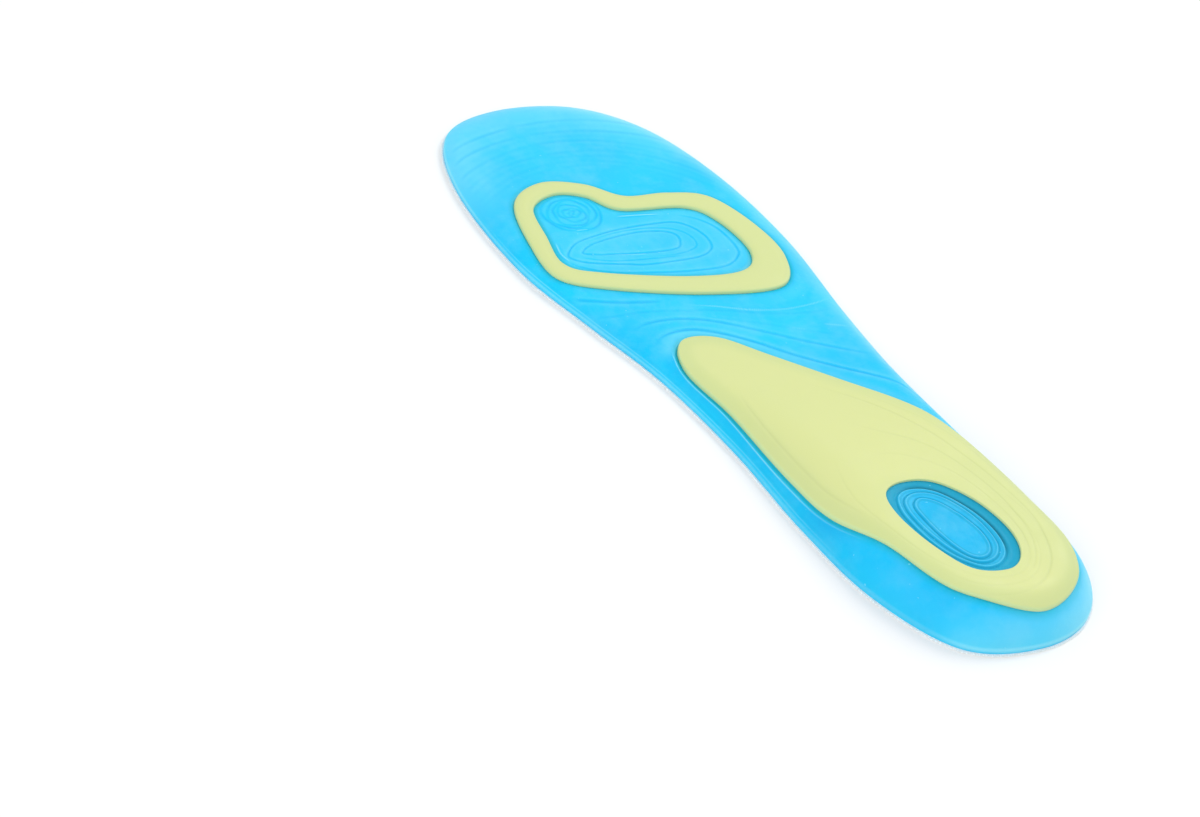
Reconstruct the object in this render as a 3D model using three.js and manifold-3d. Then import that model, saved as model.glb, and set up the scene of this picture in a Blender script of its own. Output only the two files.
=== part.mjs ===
// A gel insole for a left foot, lying with its cloth side down and its gel side up.
// X runs from the inner (big toe) side to the outer side, Y from heel to toe and Z upwards,
// in millimetres. The forefoot lies flat on Z = 0, and the heel stands on the rim of its cup.
import * as THREE from 'three';
import Module from 'manifold-3d';

const { Manifold, Mesh: SolidMesh } = await initialise();

// ---------------------------------------------------------------- driving sizes
const LENGTH = 265;              // heel to toe
const BALL_WIDTH = 89;           // across the ball of the foot

const CLOTH_THICKNESS = 0.8;
const FILM_THICKNESS = 0.3;
const GEL_FOREFOOT = 2.5;        // gel thickness under the toes
const GEL_HEEL = 5.6;            // gel thickness under the heel
const GEL_RIM = 0.8;             // gel thickness at the trimmed edge
const CUP_DEPTH = 5.5;           // hollow of the heel cup above its rim
const HEEL_WALL = 14;            // plan width over which the heel wall rises
const ARCH_WALL = 22;            // the same at the inner side of the arch
const EDGE_ROUND = 3.5;          // plan width of the rounding at the forefoot edge
const WALL_CURVE = 2.2;          // how quickly a wall levels out, 1 is a straight ramp

const POCKET_DEPTH = 1.8;        // how deep the inserts are let into the gel
const SUPPORT_PROUD = 1.3;       // support above the gel beside it
const RING_PROUD = 1.6;          // ring above the gel beside it
const RING_BEVEL = 0.6;
const BALL_RECESS = 0.4;         // ball cushion below the gel outside the ring
const HEEL_STEPS = 3;            // raised ovals of the heel cushion
const HEEL_STEP_RISE = 0.5;
const HEEL_STEP_INSET = 1.7;     // plan distance from one oval to the next
const HEEL_MARGIN = 3.5;         // flat margin between the window and the first oval
const GAP = 0.3;                 // clearance between neighbouring pieces

const ROWS = 46;                 // rows of facets from heel to toe
const COLUMNS = 16;              // facets across each row

// ---------------------------------------------------------------- pattern outlines
// The pattern is drawn for one size and graded in length and width.
const PATTERN_LENGTH = 265;
const PATTERN_WIDTH = 89;

const SOLE = [
  [2, -132], [21.6, -129], [34, -113.4], [35.5, -88.2], [35, -54], [36, -24], [39, 5],
  [44, 40], [43, 75], [35, 105], [18, 124.5], [-8, 132.5], [-30, 127], [-41.5, 102],
  [-44.5, 64], [-39.5, 34], [-33.5, 4], [-31.8, -30], [-33.4, -65.2], [-31.5, -95.4], [-20.4, -122],
];
const SUPPORT = [
  [-20, 12.9], [-26.7, 2.4], [-26.4, -20], [-28.2, -50], [-27.9, -68], [-23.8, -85], [-16.2, -111], [3, -126],
  [21.8, -120.6], [30, -101.4], [29.5, -76], [22.7, -48], [11.2, -25], [0.3, -4.6], [-8.7, 9.4],
];
const WINDOW = [
  [-5, -70.6], [-12.3, -72.8], [-14.6, -82], [-12.8, -96], [-8, -107.3],
  [2, -111.8], [9.2, -108], [12.5, -98.8], [10.9, -85.8], [4.4, -74.6],
];
const RING_OUTER = [
  [-17.7, 92.5], [-30.7, 87.5], [-37.2, 70.5], [-38.7, 52.5], [-26.7, 41.5], [0.3, 27.5], [25.3, 20.5],
  [35.3, 31.5], [35.8, 48.5], [30.3, 65.5], [18.3, 72.5], [4.3, 76.5], [-4.7, 86.5],
];
const RING_INNER = [
  [-16.7, 86], [-26.7, 82.5], [-30.7, 69.5], [-33.2, 56.5], [-24.7, 48.5], [0.3, 36],
  [18.3, 31.5], [26.3, 38.5], [25.8, 54.5], [19.3, 64.5], [-0.7, 71.5], [-7.7, 81.5],
];

const soleEdge = closedCurve(SOLE, 10);
const supportEdge = closedCurve(SUPPORT, 6);
const windowEdge = closedCurve(WINDOW, 6);
const ringOuterEdge = closedCurve(RING_OUTER, 5);
const ringInnerEdge = closedCurve(RING_INNER, 5);

// The flat forefoot starts just behind the ring, and the flat heel just in front of the window.
const flatFrom = Math.min(...ringOuterEdge.map((p) => p.y)) - 4;
const heelFrom = Math.max(...windowEdge.map((p) => p.y)) + 5;
const backPoint = soleEdge.reduce((a, b) => (b.y < a.y ? b : a));
const toePoint = soleEdge.reduce((a, b) => (b.y > a.y ? b : a));

// ---------------------------------------------------------------- the surfaces
// Every layer lies between two of these heights, so the layers nest with one clearance.
const clothLow = (x, y) => CUP_DEPTH * heelRise(y) * wall(x, y);
const clothHigh = (x, y) => clothLow(x, y) + CLOTH_THICKNESS;
const filmLow = (x, y) => clothHigh(x, y) + GAP;
const filmHigh = (x, y) => filmLow(x, y) + FILM_THICKNESS;
const gelLow = (x, y) => filmHigh(x, y) + GAP;
const gelHigh = (x, y) => {
  const inner = GEL_FOREFOOT + (GEL_HEEL - GEL_FOREFOOT) * heelRise(y);
  return gelLow(x, y) + GEL_RIM + (inner - GEL_RIM) * wall(x, y);
};
const pocketFloor = (x, y) => Math.max(gelLow(x, y) + 0.5, gelHigh(x, y) - POCKET_DEPTH);

// The forefoot and the middle of the heel are level, so these two heights are single numbers.
const forefootTop = CLOTH_THICKNESS + FILM_THICKNESS + 2 * GAP + GEL_FOREFOOT;
const heelTop = CUP_DEPTH + CLOTH_THICKNESS + FILM_THICKNESS + 2 * GAP + GEL_HEEL;

// ---------------------------------------------------------------- the pieces
const insole = new THREE.Group();
insole.add(
  piece('top_cloth', layer(clothLow, clothHigh), 0x9fd8ee, 0.95),
  piece('film_backing', layer(filmLow, filmHigh), 0xd9eef5, 0.4),
  piece('gel_body', gelBody(), 0x2fbdf0, 0.35),
  piece('arch_heel_support', support(), 0xdde39c, 0.55),
  piece('ball_ring', ballRing(), 0xd6e293, 0.5),
  piece('ball_cushion', ballCushion(), 0x3cc3f0, 0.4),
  piece('heel_cushion', heelCushion(), 0x3aa6cf, 0.6),
);

// The blue body: a full layer of gel with one pocket for the support and one for the ring.
function gelBody() {
  const pockets = prism(offset(supportEdge, GAP)).add(prism(offset(ringOuterEdge, GAP)));
  return layer(gelLow, gelHigh).subtract(pockets).add(layer(gelLow, pocketFloor));
}

// The teardrop shell under the arch and heel, with its oval window.
function support() {
  const low = (x, y) => pocketFloor(x, y) + GAP;
  const high = (x, y) => gelHigh(x, y) + SUPPORT_PROUD;
  return layer(low, high).intersect(prism(supportEdge, windowEdge));
}

// The closed band around the ball of the foot, flat on top with softened edges.
function ballRing() {
  const low = forefootTop - POCKET_DEPTH + GAP;
  const high = forefootTop + RING_PROUD;
  const shape = new THREE.Shape(offset(ringOuterEdge, 0));
  shape.holes.push(new THREE.Path(ringInnerEdge));
  const options = {
    depth: high - low - 2 * RING_BEVEL,
    steps: 1,
    bevelSize: RING_BEVEL,
    bevelThickness: RING_BEVEL,
    bevelOffset: -RING_BEVEL,
    bevelSegments: 2,
  };
  return solid(new THREE.ExtrudeGeometry(shape, options).translate(0, 0, low + RING_BEVEL));
}

// The soft pad that fills the ring.
function ballCushion() {
  const low = forefootTop - POCKET_DEPTH + GAP;
  return slab(offset(ringInnerEdge, -GAP), low, forefootTop - BALL_RECESS);
}

// The soft pad in the heel window: a base with smaller and smaller ovals on it.
function heelCushion() {
  const low = heelTop - POCKET_DEPTH + GAP;
  const plateau = heelTop + HEEL_STEP_RISE;
  let pad = slab(offset(windowEdge, -GAP), low, plateau - HEEL_STEPS * HEEL_STEP_RISE);
  for (let step = 1; step <= HEEL_STEPS; step += 1) {
    const oval = shrink(windowEdge, GAP + HEEL_MARGIN + (step - 1) * HEEL_STEP_INSET);
    pad = pad.add(slab(oval, low, plateau - (HEEL_STEPS - step) * HEEL_STEP_RISE));
  }
  return pad;
}

// ---------------------------------------------------------------- shape helpers
async function initialise() {
  const wasm = await Module();
  wasm.setup();
  return wasm;
}

// A smooth closed curve through a pattern's points, graded to size.
function closedCurve(pattern, divisions) {
  const points = pattern.map(
    ([x, y]) => new THREE.Vector3((x * BALL_WIDTH) / PATTERN_WIDTH, (y * LENGTH) / PATTERN_LENGTH, 0),
  );
  const curve = new THREE.CatmullRomCurve3(points, true, 'catmullrom', 0.5);
  const samples = [];
  for (let i = 0; i < pattern.length * divisions; i += 1) {
    const point = curve.getPoint(i / (pattern.length * divisions));
    samples.push(new THREE.Vector2(point.x, point.y));
  }
  return THREE.ShapeUtils.isClockWise(samples) ? samples.reverse() : samples;
}

// The same closed curve moved outwards, or inwards where the distance is negative.
function offset(edge, distance) {
  return edge.map((point, i) => {
    const before = edge[(i + edge.length - 1) % edge.length];
    const after = edge[(i + 1) % edge.length];
    const along = after.clone().sub(before).normalize();
    return new THREE.Vector2(point.x + along.y * distance, point.y - along.x * distance);
  });
}

// An oval drawn in towards its middle by a distance along each axis.
function shrink(edge, distance) {
  const box = new THREE.Box2().setFromPoints(edge);
  const middle = box.getCenter(new THREE.Vector2());
  const half = box.getSize(new THREE.Vector2()).multiplyScalar(0.5);
  const scale = new THREE.Vector2(1 - distance / half.x, 1 - distance / half.y);
  return edge.map((point) => point.clone().sub(middle).multiply(scale).add(middle));
}

// 0 in the flat forefoot, 1 in the heel, with a smooth rise through the arch.
function heelRise(y) {
  return 1 - THREE.MathUtils.smoothstep(y, heelFrom, flatFrom);
}

// 0 at the trimmed edge, 1 where the wall has levelled out.
function wall(x, y) {
  const arch = THREE.MathUtils.smoothstep(y, heelFrom - 30, heelFrom + 5)
    * (1 - THREE.MathUtils.smoothstep(y, flatFrom - 36, flatFrom + 4));
  const inner = 1 - THREE.MathUtils.smoothstep(x, -12, 8);
  const width = EDGE_ROUND + (HEEL_WALL - EDGE_ROUND) * heelRise(y)
    + (ARCH_WALL - HEEL_WALL) * arch * inner;
  const t = Math.min(distanceToEdge(x, y) / width, 1);
  return 1 - (1 - t) ** WALL_CURVE;
}

// Shortest plan distance from a point to the sole's edge.
function distanceToEdge(x, y) {
  const point = new THREE.Vector3(x, y, 0);
  const line = new THREE.Line3();
  const nearest = new THREE.Vector3();
  let best = Infinity;
  soleEdge.forEach((a, i) => {
    const b = soleEdge[(i + 1) % soleEdge.length];
    line.start.set(a.x, a.y, 0);
    line.end.set(b.x, b.y, 0);
    line.closestPointToPoint(point, true, nearest);
    best = Math.min(best, nearest.distanceTo(point));
  });
  return best;
}

// Where a straight row across the sole at this Y meets its inner and outer edge.
function rowEnds(y) {
  const crossings = [];
  soleEdge.forEach((a, i) => {
    const b = soleEdge[(i + 1) % soleEdge.length];
    if ((a.y > y) !== (b.y > y)) crossings.push(a.x + ((b.x - a.x) * (y - a.y)) / (b.y - a.y));
  });
  return [Math.min(...crossings), Math.max(...crossings)];
}

// A closed body over the whole sole between two heights, as rows of facets from heel to toe.
function layer(low, high) {
  const positions = [];
  const faces = [];
  const plan = [[[backPoint.x, backPoint.y]]];
  for (let row = 1; row < ROWS; row += 1) {
    const y = THREE.MathUtils.lerp(backPoint.y, toePoint.y, (1 - Math.cos((Math.PI * row) / ROWS)) / 2);
    const [inner, outer] = rowEnds(y);
    const points = [];
    for (let column = 0; column <= COLUMNS; column += 1) {
      const share = (1 - Math.cos((Math.PI * column) / COLUMNS)) / 2;
      points.push([THREE.MathUtils.lerp(inner, outer, share), y]);
    }
    plan.push(points);
  }
  plan.push([[toePoint.x, toePoint.y]]);

  // Two vertices for each point of the plan, one on each side of the layer.
  const index = plan.map((points) => points.map(([x, y]) => {
    positions.push(x, y, low(x, y), x, y, high(x, y));
    return positions.length / 3 - 2;
  }));
  const pair = (a, b, c) => faces.push(a, c, b, a + 1, b + 1, c + 1);
  const side = (a, b) => faces.push(a, b, b + 1, a, b + 1, a + 1);
  for (let row = 0; row < ROWS; row += 1) {
    const near = index[row];
    const far = index[row + 1];
    for (let column = 0; column < COLUMNS; column += 1) {
      if (near.length > 1) pair(near[column], near[column + 1], far[Math.min(column + 1, far.length - 1)]);
      if (far.length > 1) pair(near[Math.min(column, near.length - 1)], far[column + 1], far[column]);
    }
    side(far[0], near[0]);
    side(near[near.length - 1], far[far.length - 1]);
  }
  const geometry = new THREE.BufferGeometry();
  geometry.setAttribute('position', new THREE.Float32BufferAttribute(positions, 3));
  geometry.setIndex(faces);
  return solid(geometry);
}

// An upright prism over a closed curve, tall enough to pass through every layer.
function prism(edge, hole) {
  return slab(edge, -10, heelTop + 20, hole);
}

function slab(edge, low, high, hole) {
  const shape = new THREE.Shape(edge);
  if (hole) shape.holes.push(new THREE.Path(hole));
  const options = { depth: high - low, steps: 1, bevelEnabled: false };
  return solid(new THREE.ExtrudeGeometry(shape, options).translate(0, 0, low));
}

// A three.js geometry as a manifold solid.
function solid(geometry) {
  const position = geometry.getAttribute('position');
  const count = position.count;
  const index = geometry.index ? geometry.index.array : Array.from({ length: count }, (_, i) => i);
  const mesh = new SolidMesh({
    numProp: 3,
    vertProperties: new Float32Array(position.array),
    triVerts: new Uint32Array(index),
  });
  mesh.merge();
  return new Manifold(mesh);
}

// A manifold solid as a named three.js mesh with its own material.
function piece(name, body, color, roughness) {
  const mesh = body.getMesh();
  const geometry = new THREE.BufferGeometry();
  geometry.setAttribute('position', new THREE.Float32BufferAttribute(mesh.vertProperties, 3));
  geometry.setIndex(Array.from(mesh.triVerts));
  geometry.computeVertexNormals();
  const material = new THREE.MeshStandardMaterial({ color, roughness, metalness: 0 });
  const result = new THREE.Mesh(geometry, material);
  result.name = name;
  return result;
}

export default insole;
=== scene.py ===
import bpy
import numpy as np
from mathutils import Matrix, Vector


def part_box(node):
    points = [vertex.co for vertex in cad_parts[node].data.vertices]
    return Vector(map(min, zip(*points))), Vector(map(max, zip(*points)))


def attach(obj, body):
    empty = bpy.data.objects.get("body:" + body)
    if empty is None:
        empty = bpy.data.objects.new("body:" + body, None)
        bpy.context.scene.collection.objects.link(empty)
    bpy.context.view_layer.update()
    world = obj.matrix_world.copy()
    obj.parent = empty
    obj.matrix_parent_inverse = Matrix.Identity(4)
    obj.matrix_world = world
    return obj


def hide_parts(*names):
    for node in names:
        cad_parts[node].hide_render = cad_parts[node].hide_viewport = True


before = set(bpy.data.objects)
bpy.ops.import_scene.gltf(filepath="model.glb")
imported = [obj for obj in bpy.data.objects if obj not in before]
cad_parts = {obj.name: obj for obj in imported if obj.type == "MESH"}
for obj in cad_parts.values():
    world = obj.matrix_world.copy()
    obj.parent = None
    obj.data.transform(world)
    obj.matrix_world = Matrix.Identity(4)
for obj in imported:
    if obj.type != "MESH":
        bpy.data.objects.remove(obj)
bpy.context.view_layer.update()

bl_info = {
    "name": "Gel Insole",
    "version": (1, 0, 0),
    "blender": (4, 5, 0),
    "location": "View3D > Sidebar > Insole",
    "description": "Builds the finished cloth, gel and inserts of an insole around its frame",
    "category": "Add Mesh",
}

# Shapes are worked out in millimetres and put into the meshes in metres.
MM = 0.001
GEL_RIM = 0.35             # thickness of the gel at its trimmed edge
SUPPORT_PROUD = 1.3        # how far the support stands above the gel around it
RING_PROUD = 1.6           # the same for the ring
GAP = 0.3                  # clearance between neighbouring solids of the frame
POCKET_DEPTH = 1.8         # how deep the inserts are let into the gel
WALL_CURVE = 2.2           # how quickly the heel wall levels out, 1 is a straight ramp
EDGE_ROUND = 7.0           # plan width of the rounding at the forefoot edge
HEEL_WALL = 14.0           # plan width over which the heel wall rises
ARCH_WALL = 22.0           # the same at the inner side of the arch
POCKET_FLOOR = 0.5         # least gel left under an insert
EDGE_SKIRT = 1.2           # how far the gel dips over the cloth at its trimmed edge
LEAST_GEL = 0.6            # the gel is nowhere thinner than this
SPINE_FROM_HEEL = 30       # a fanned grid's middle line starts this far from the heel's back
SPINE_FROM_TOE = 36        # and ends this far from the tip of the toes
SHARP_ANGLE = 48           # degrees between two faces, past which their edge shades sharp
LIME_SIDE_SHADE = (0.56, 0.70, 0.34)     # linear colour of painted shade on the lime gel's sides next to the blue, tinted by its light
BLUE_BY_LIME = (0.0, 0.40, 0.50)   # linear colour of the blue gel in the lime's shade
BLUE_IN_WINDOW = (0.0, 0.2, 0.3)   # the same at the foot of the heel window's wall

# Pattern outlines, the same ones as the frame's. X runs to the outer side, Y to the toes.
SOLE = [
    (2, -132), (21.6, -129), (34, -113.4), (35.5, -88.2), (35, -54), (36, -24), (39, 5),
    (44, 40), (43, 75), (35, 105), (18, 124.5), (-8, 132.5), (-30, 127), (-41.5, 102),
    (-44.5, 64), (-39.5, 34), (-33.5, 4), (-31.8, -30), (-33.4, -65.2), (-31.5, -95.4),
    (-20.4, -122),
]
SUPPORT = [
    (-20, 12.9), (-26.7, 2.4), (-26.4, -20), (-28.2, -50), (-27.9, -68), (-23.8, -85),
    (-16.2, -111), (3, -126), (21.8, -120.6), (30, -101.4), (29.5, -76), (22.7, -48), (11.2, -25),
    (0.3, -4.6), (-8.7, 9.4),
]
WINDOW = [
    (-5, -70.6), (-12.3, -72.8), (-14.6, -82), (-12.8, -96), (-8, -107.3),
    (2, -111.8), (9.2, -108), (12.5, -98.8), (10.9, -85.8), (4.4, -74.6),
]
RING_OUTER = [
    (-17.7, 92.5), (-30.7, 87.5), (-37.2, 70.5), (-38.7, 52.5), (-26.7, 41.5), (0.3, 27.5), (25.3, 20.5),
    (35.3, 31.5), (35.8, 48.5), (30.3, 65.5), (18.3, 72.5), (4.3, 76.5), (-4.7, 86.5),
]
RING_INNER = [
    (-16.7, 86), (-26.7, 82.5), (-30.7, 69.5), (-33.2, 56.5), (-24.7, 48.5), (0.3, 36),
    (18.3, 31.5), (26.3, 38.5), (25.8, 54.5), (19.3, 64.5), (-0.7, 71.5), (-7.7, 81.5),
]

# Moulded lines in the gel between the ring and the support: points, depth and width.
# A negative depth is a raised line.
FLOW_LINES = [
    ([(-40, 44), (-36, 40.5), (-29, 36.5), (-21, 33), (-13, 30)], 0.22, 0.5),
    ([(-39, 35), (-33, 31), (-25, 29.6), (-14, 26), (-5, 21.5)], 0.08, 0.45),
    ([(-9, 26.6), (0, 22), (10, 16), (20, 12), (30, 10.4), (38, 10.6)], -0.13, 0.26),
    ([(-12, 25.5), (0, 20.2), (12, 13.6), (24, 8.3), (36, 5.2)], 0.08, 0.45),
    ([(-8, 20.5), (2, 14.5), (12, 7), (22, -1.5), (31, -9)], 0.06, 0.45),
    ([(-32, 22.8), (-25, 24.2), (-15, 22.3), (-5, 17), (5, 8), (15, -3), (25, -14), (31, -20)],
     0.24, 0.5),
    ([(-30, 14.5), (-23, 17.6), (-14, 16.6), (-6, 11.3), (1, 3.1), (8, -8), (15, -18), (22, -27),
      (27, -35), (30, -46)], 0.32, 0.5),
    ([(26, 1), (33, -3.6)], -0.15, 0.24),
    ([(15, 4.6), (20, 0.8)], -0.12, 0.24),
]
# The same on the support.
SUPPORT_LINES = [
    ([(-20, -13), (-22.4, -24), (-24, -38), (-24.8, -52), (-24.6, -64), (-21.5, -80)], 0.16, 0.45),
    ([(-2, -19), (5, -30), (11, -41), (16, -54), (19.5, -68), (22, -84), (22, -100), (15.5, -114),
      (5, -120), (-6, -117)], 0.15, 0.45),
    ([(-4, -41), (3, -50), (10, -58), (15, -68), (17.8, -80), (18.5, -92), (16.4, -104),
      (9.5, -113.5), (-2, -117)], 0.14, 0.45),
    ([(-9, -58), (-1, -59.5), (7, -66), (12.5, -75), (15, -86), (15.4, -98), (12, -108), (4, -114)],
     0.1, 0.4),
    ([(-16, -52), (-20.5, -66), (-20.5, -80), (-17, -98), (-9, -112)], 0.08, 0.4),
    ([(8, -28), (14, -40), (20, -54), (24, -70), (26, -88), (25, -104)], 0.08, 0.4),
]
# The same on the pad inside the ring, closed ovals and open lines.
BALL_OVALS = [
    ([(-24.4, 58.8), (-20, 61), (-12, 61.3), (-3.3, 60.5), (3.2, 58.6), (7.2, 56.4), (8.8, 53.8),
      (7.8, 50.9), (5.3, 49), (-1, 49.8), (-9.3, 52.2), (-15.4, 54.4), (-20.9, 56.5)], 0.12, 0.36),
    ([(-29.5, 59.4), (-25.9, 62.6), (-21.8, 63.9), (-13.9, 64.2), (-6.4, 63.7), (2, 62.4), (10.8, 60.2),
      (14.7, 57), (16.9, 52.3), (16.9, 47.1), (14.4, 43.9), (8, 42.9), (-7.6, 46), (-14.7, 49),
      (-23.9, 53.4), (-28, 56.4)], 0.14, 0.36),
]
BALL_LINES = [
    ([(12, 64), (18.4, 59.7), (22.4, 54.3), (23.6, 49.5), (23.6, 43.2), (21.8, 38.7), (15, 35.9),
      (3.2, 38.2), (-9.9, 42.8), (-21.7, 47.9), (-29.4, 54.2), (-30.8, 58.4)], 0.12, 0.4),
    ([(-22, 62.5), (-10, 62.9), (1, 60.9), (9, 57.4), (12.6, 52.4), (11.4, 47.2), (3, 46.6),
      (-10, 50.3)], 0.06, 0.3),
    ([(-27.6, 58), (-18, 52), (-5, 47.8), (6, 45)], 0.06, 0.3),
    ([(-4.2, 69.4), (1.9, 67.6), (10.5, 64.8)], -0.16, 0.22),
    ([(-20.4, 68.6), (-15.8, 67.5)], -0.14, 0.2),
    ([(-18, 55.2), (-9.3, 51.6), (-5.2, 50.4)], -0.08, 0.2),
    ([(-29.4, 66.6), (-31, 61.2), (-30.4, 56.6)], -0.14, 0.24),
]
BALL_WHORL = (-16.5, 76.3)             # middle of the whorl in the pad's big-toe lobe
WHORL_RADII = (0.9, 2.4, 4.1, 5.8, 7.3, 8.8)
# The heel pad's raised ovals, one inside the other.
HEEL_OVALS = [
    [(-10.1, -75.6), (-7.6, -73.8), (-4.2, -73.7), (0, -75.4), (3.5, -78.9), (6.3, -84.7),
     (8.1, -91.4), (8.3, -98.1), (7, -103.4), (4.6, -106.7), (1, -108.5), (-2.8, -108.3),
     (-5.4, -106.7), (-8.3, -103), (-10.9, -97.9), (-12.2, -92.2), (-12.5, -85.6), (-12, -79.9)],
    [(-8.8, -77.2), (-6.2, -75.8), (-3, -76), (0.5, -77.9), (3.5, -81.9), (5.8, -88.2),
     (6.6, -94.5), (5.9, -100.7), (4.1, -104.2), (1, -106.3), (-3, -106.3), (-6.3, -103.6),
     (-8.8, -98.5), (-10.2, -92.5), (-10.7, -86.4), (-10.3, -80.8)],
    [(-6.5, -79), (-4.1, -78.2), (-1.4, -79.8), (0.9, -83.1), (2.4, -87.2), (3.5, -91.5),
     (4, -96.1), (3.3, -100.6), (1.5, -103.6), (-1, -104.8), (-3.8, -104.2), (-5.9, -101.7),
     (-7.4, -96.7), (-8.1, -90.6), (-8.1, -84.7), (-7.7, -80.9)],
]
HEEL_NOTCH = (2.6, -88.7)              # small moulding mark at the edge of the innermost oval
TOE_MIDDLE = (-13.7, 45.5)             # the toe waves are arcs about this point
TOE_RADII = (52.0, 54.5, 57.3, 59.7, 62.3, 64.9, 67.6, 70.2, 72.8, 75.4, 78.0)


def length(label, text, default):
    """A size in metres as a Blender property."""
    return bpy.props.FloatProperty(
        name=label, description=text, default=default, min=0.0, subtype="DISTANCE"
    )


def colour(label, text, default):
    """A linear colour as a Blender property."""
    return bpy.props.FloatVectorProperty(
        name=label, description=text, default=default, size=3, min=0.0, max=1.0, subtype="COLOR"
    )


class InsoleShape(bpy.types.PropertyGroup):
    """Sizes of the moulded details, in metres."""

    groove_depth: bpy.props.FloatProperty(
        name="Groove depth", description="Multiplies the depth of every moulded line", default=1.0, min=0.0
    )
    bead: length("Edge bead", "Height of the fine bead inside the trimmed edge", 0.09 * MM)
    lip: length("Pocket lip", "Height of the raised lip beside the support", 0.16 * MM)
    fringe: length("Fringe", "Longest loose fibre at the cut edge of the cloth", 0.8 * MM)
    fibres: bpy.props.IntProperty(
        name="Fibres", description="Loose fibres around the cut edge of the cloth", default=5200, min=0
    )


class InsoleColours(bpy.types.PropertyGroup):
    """Linear colours of the gels and the cloth."""

    gel: colour("Gel", "Cast blue gel at full thickness", (0.0, 0.59, 0.97))
    # Also the painted shade in the blue gels' moulded lines and recesses.
    deep_gel_and_shade: colour("Deep gel", "Blue gel where it is thick or folded", (0.0, 0.42, 0.80))
    # Also the painted highlights on the blue gels' crests, bead and raised lines.
    pale_gel_and_highlight: colour("Thin gel", "Blue gel where the cloth shows through it", (0.26, 0.76, 0.97))
    lime: colour("Lime", "Middle of the firmer lime gel", (0.665, 0.712, 0.305))
    lime_edge: colour("Lime edge", "Edges of the lime gel", (0.588, 0.668, 0.292))
    # Also the painted shade in the heel pad's outer band and at the foot of its steps.
    heel_gel: colour("Heel gel", "Soft pad in the heel window", (0.0, 0.36, 0.58))
    cloth: colour("Cloth", "Knitted cover", (0.84, 0.93, 0.96))


# ------------------------------------------------------------------ plan shapes

def smooth(low, high, value):
    """0 below low, 1 above high, and a smooth S between them."""
    share = np.clip((value - low) / (high - low), 0.0, 1.0)
    return share * share * (3.0 - 2.0 * share)


def falling(low, high, value):
    """1 below low, 0 above high: one minus the same S."""
    return 1.0 - smooth(low, high, value)


def bump(distance, width):
    """A bell: 1 at no distance, falling off over about the width."""
    return np.exp(-((distance / width) ** 2))


def spline(points, closed, per_span=16):
    """Catmull-Rom curve: each span is the cubic whose slope at a point is half the step between
    the points on either side of it."""
    points = np.asarray(points, float)
    if closed:
        before, start, end, after = (np.roll(points, shift, 0) for shift in (1, 0, -1, -2))
    else:
        padded = np.vstack([2 * points[0] - points[1], points, 2 * points[-1] - points[-2]])
        before, start, end, after = padded[:-3], padded[1:-2], padded[2:-1], padded[3:]
    t = (np.arange(per_span) / per_span)[None, :, None]
    before, start, end, after = (p[:, None, :] for p in (before, start, end, after))
    curve = 0.5 * (
        2 * start + (end - before) * t + (2 * before - 5 * start + 4 * end - after) * t**2
        + (3 * start - before - 3 * end + after) * t**3
    )
    curve = curve.reshape(-1, 2)
    return curve if closed else np.vstack([curve, points[-1]])


def box_mm(node):
    """A frame node's lowest and highest corners in millimetres."""
    low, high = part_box(node)
    return np.array(low) / MM, np.array(high) / MM


def graded(pattern, node, margin=0.0):
    """A closed pattern outline, stretched in X and Y to fill the plan of a frame node."""
    curve = spline(pattern, closed=True)
    low, high = box_mm(node)
    low, high = low[:2] - margin, high[:2] + margin
    share = (curve - curve.min(0)) / np.ptp(curve, axis=0)
    return low + share * (high - low)


def even_steps(curve, count):
    """The same closed curve as a given number of points at equal distances along it."""
    loop = np.vstack([curve, curve[:1]])
    along = np.concatenate([[0.0], np.cumsum(np.linalg.norm(np.diff(loop, axis=0), axis=1))])
    at = np.linspace(0.0, along[-1], count, endpoint=False)
    return np.column_stack([np.interp(at, along, loop[:, axis]) for axis in (0, 1)])


def moved_out(curve, distance):
    """A closed counter-clockwise curve moved outwards by a distance, or inwards if negative."""
    along = np.roll(curve, -1, 0) - np.roll(curve, 1, 0)
    along /= np.linalg.norm(along, axis=1)[:, None]
    return curve + distance * np.column_stack([along[:, 1], -along[:, 0]])


def between(inner, outer, shares):
    """Plan points at some shares of the way from one curve to another."""
    return inner[:, None] + np.asarray(shares)[..., None] * (outer - inner)[:, None]


def counter_clockwise(curve):
    """The closed curve, reversed if it runs clockwise."""
    after = np.roll(curve, -1, 0)
    area = np.sum(curve[:, 0] * after[:, 1] - curve[:, 1] * after[:, 0])
    return curve if area > 0 else curve[::-1]


def nearest(points, line, closed):
    """Distance from each point to a line, and how far along the line, from 0 to 1, it is nearest:
    each point is dropped square onto every segment, and the nearest foot is kept."""
    line = np.vstack([line, line[:1]]) if closed else line
    start, step = line[:-1], np.diff(line, axis=0)
    squared = np.maximum(np.sum(step**2, axis=1), 1e-12)
    best, where = np.empty(len(points)), np.empty(len(points))
    for first in range(0, len(points), 8000):
        part = points[first:first + 8000]
        reach = part[:, None, :] - start[None]
        share = np.clip(np.einsum("ijk,jk->ij", reach, step) / squared, 0.0, 1.0)
        gap = reach - share[..., None] * step[None]
        distance = np.einsum("ijk,ijk->ij", gap, gap)
        segment = np.argmin(distance, axis=1)
        row = np.arange(len(part))
        best[first:first + 8000] = np.sqrt(distance[row, segment])
        where[first:first + 8000] = (segment + share[row, segment]) / len(start)
    return best, where


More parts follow.
